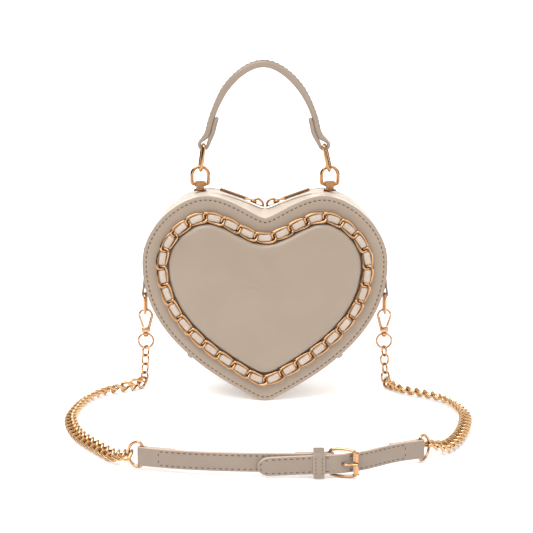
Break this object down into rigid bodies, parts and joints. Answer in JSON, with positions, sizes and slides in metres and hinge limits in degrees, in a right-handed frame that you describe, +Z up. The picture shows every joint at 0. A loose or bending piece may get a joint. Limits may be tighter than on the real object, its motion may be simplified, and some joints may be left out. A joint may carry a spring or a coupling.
{
  "type": "heart-shaped box handbag",
  "caption": "Heart-shaped zip-round box bag with a padded front framed by a laced chain, an arched top handle and a buckled chain-and-leather shoulder strap.",
  "frame": {"origin": "middle of the small flat at the heart's lower tip, at half the bag's depth, on the surface it stands on", "axes": "+X to the viewer's right when the padded front is seen, +Y from the front panel to the back panel, +Z up"},
  "size_m": [0.3166, 0.2826, 0.2776],
  "materials": {
    "leather_taupe": "smooth taupe faux leather with a fine pebbled grain",
    "leather_cream": "smooth cream faux leather",
    "leather_lace": "soft pale pink-beige lace",
    "gold": "polished warm gold plating",
    "zip_tape": "woven tape",
    "zip_teeth": "gold-toned coil",
    "lining": "plain woven lining"
  },
  "bodies": {
    "bag": {"back_panel": "leather_taupe", "back_gusset": "leather_cream", "back_zip_tape": "zip_tape", "back_zip_teeth": "zip_teeth", "back_lining": "lining", "bottom_gusset": "leather_taupe", "zip_end_tab_left": "leather_taupe", "zip_end_tab_right": "leather_taupe", "handle_post_left": "gold", "handle_post_right": "gold", "side_tab_left": "leather_taupe", "side_tab_right": "leather_taupe"},
    "front": {"front_panel": "leather_taupe", "front_gusset": "leather_cream", "front_zip_tape": "zip_tape", "front_zip_teeth": "zip_teeth", "front_lining": "lining", "padded_heart": "leather_taupe", "trim_chain": "gold", "trim_lace": "leather_lace"},
    "ring_left": {"handle_ring_left": "gold"},
    "ring_right": {"handle_ring_right": "gold"},
    "handle": {"handle_link_left": "gold", "handle_link_right": "gold", "handle_strap": "leather_taupe"},
    "slider_left": {"zip_slider_left": "gold"},
    "slider_right": {"zip_slider_right": "gold"},
    "pull_left": {"zip_pull_left": "gold"},
    "pull_right": {"zip_pull_right": "gold"},
    "side_left": {"side_ring_left": "gold"},
    "side_right": {"side_ring_right": "gold"},
    "strap": {"swivel_ring_left": "gold", "link_chain_left": "gold", "curb_chain_left": "gold", "strap_ring_left": "gold", "swivel_ring_right": "gold", "link_chain_right": "gold", "curb_chain_right": "gold", "strap_ring_right": "gold", "strap_left": "leather_taupe", "strap_right": "leather_taupe"},
    "clasp_left": {"clasp_hook_left": "gold"},
    "clasp_right": {"clasp_hook_right": "gold"},
    "gate_left": {"clasp_gate_left": "gold"},
    "gate_right": {"clasp_gate_right": "gold"},
    "buckle": {"buckle_frame": "gold"},
    "prong": {"buckle_prong": "gold"},
    "keeper": {"strap_keeper": "leather_taupe"}
  },
  "joints": [
    {"name": "front_opening", "type": "hinge", "parent": "bag", "child": "front", "pos_m": [0, -0.0325, 0], "axis": [1, 0, 0], "range_deg": [0, 30]},
    {"name": "ring_swing_left", "type": "hinge", "parent": "bag", "child": "ring_left", "pos_m": [-0.0543, 0.014, 0.17528], "axis": [1, 0, 0], "range_deg": [-75, 75]},
    {"name": "ring_swing_right", "type": "hinge", "parent": "bag", "child": "ring_right", "pos_m": [0.0543, 0.014, 0.17528], "axis": [1, 0, 0], "range_deg": [-75, 75]},
    {"name": "handle_swing", "type": "hinge", "parent": "ring_left", "child": "handle", "pos_m": [-0.0543, 0.014, 0.18968], "axis": [1, 0, 0], "range_deg": [-20, 20]},
    {"name": "zip_run_left", "type": "slide", "parent": "bag", "child": "slider_left", "axis": [-0.9339, 0, 0.3576], "range_m": [0, 0.012]},
    {"name": "zip_run_right", "type": "slide", "parent": "bag", "child": "slider_right", "axis": [0.9339, 0, 0.3576], "range_m": [0, 0.012]},
    {"name": "pull_lift_left", "type": "hinge", "parent": "slider_left", "child": "pull_left", "pos_m": [-0.00749, 0, 0.16186], "axis": [0, 1, 0], "range_deg": [0, 50]},
    {"name": "pull_lift_right", "type": "hinge", "parent": "slider_right", "child": "pull_right", "pos_m": [0.00749, 0, 0.16186], "axis": [0, -1, 0], "range_deg": [0, 50]},
    {"name": "side_swing_left", "type": "hinge", "parent": "bag", "child": "side_left", "pos_m": [-0.1014, 0.012, 0.0822], "axis": [0, 1, 0], "range_deg": [-3, 3]},
    {"name": "side_swing_right", "type": "hinge", "parent": "bag", "child": "side_right", "pos_m": [0.1014, 0.012, 0.0822], "axis": [0, 1, 0], "range_deg": [-3, 3]},
    {"name": "strap_lift", "type": "hinge", "parent": "bag", "child": "strap", "pos_m": [-0.1014, 0.012, 0.06845], "axis": [-1, 0, 0], "range_deg": [0, 90]},
    {"name": "clasp_swivel_left", "type": "hinge", "parent": "strap", "child": "clasp_left", "pos_m": [-0.1014, 0.012, 0.06845], "axis": [0, 0, 1], "range_deg": [-15, 15]},
    {"name": "clasp_swivel_right", "type": "hinge", "parent": "strap", "child": "clasp_right", "pos_m": [0.1014, 0.012, 0.06845], "axis": [0, 0, 1], "range_deg": [-15, 15]},
    {"name": "gate_press_left", "type": "hinge", "parent": "clasp_left", "child": "gate_left", "pos_m": [-0.1039, 0.012, 0.0547], "axis": [0, 1, 0], "range_deg": [0, 15], "stiffness_Nm_per_rad": 0.002, "springref_deg": -11.46},
    {"name": "gate_press_right", "type": "hinge", "parent": "clasp_right", "child": "gate_right", "pos_m": [0.1039, 0.012, 0.0547], "axis": [0, -1, 0], "range_deg": [0, 15], "stiffness_Nm_per_rad": 0.002, "springref_deg": -11.46},
    {"name": "buckle_pivot", "type": "hinge", "parent": "strap", "child": "buckle", "pos_m": [0.04433, -0.2407, 0.0109], "axis": [0, 0, 1], "range_deg": [0, 4]},
    {"name": "prong_pivot", "type": "hinge", "parent": "strap", "child": "prong", "pos_m": [0.04433, -0.2407, 0.0109], "axis": [0, 0, -1], "range_deg": [0, 3]},
    {"name": "keeper_slide", "type": "slide", "parent": "strap", "child": "keeper", "axis": [-1, 0, 0], "range_m": [0, 0.014]}
  ],
  "couplings": [
    {"joint": "ring_swing_right", "follows": "ring_swing_left", "ratio": 1}
  ]
}
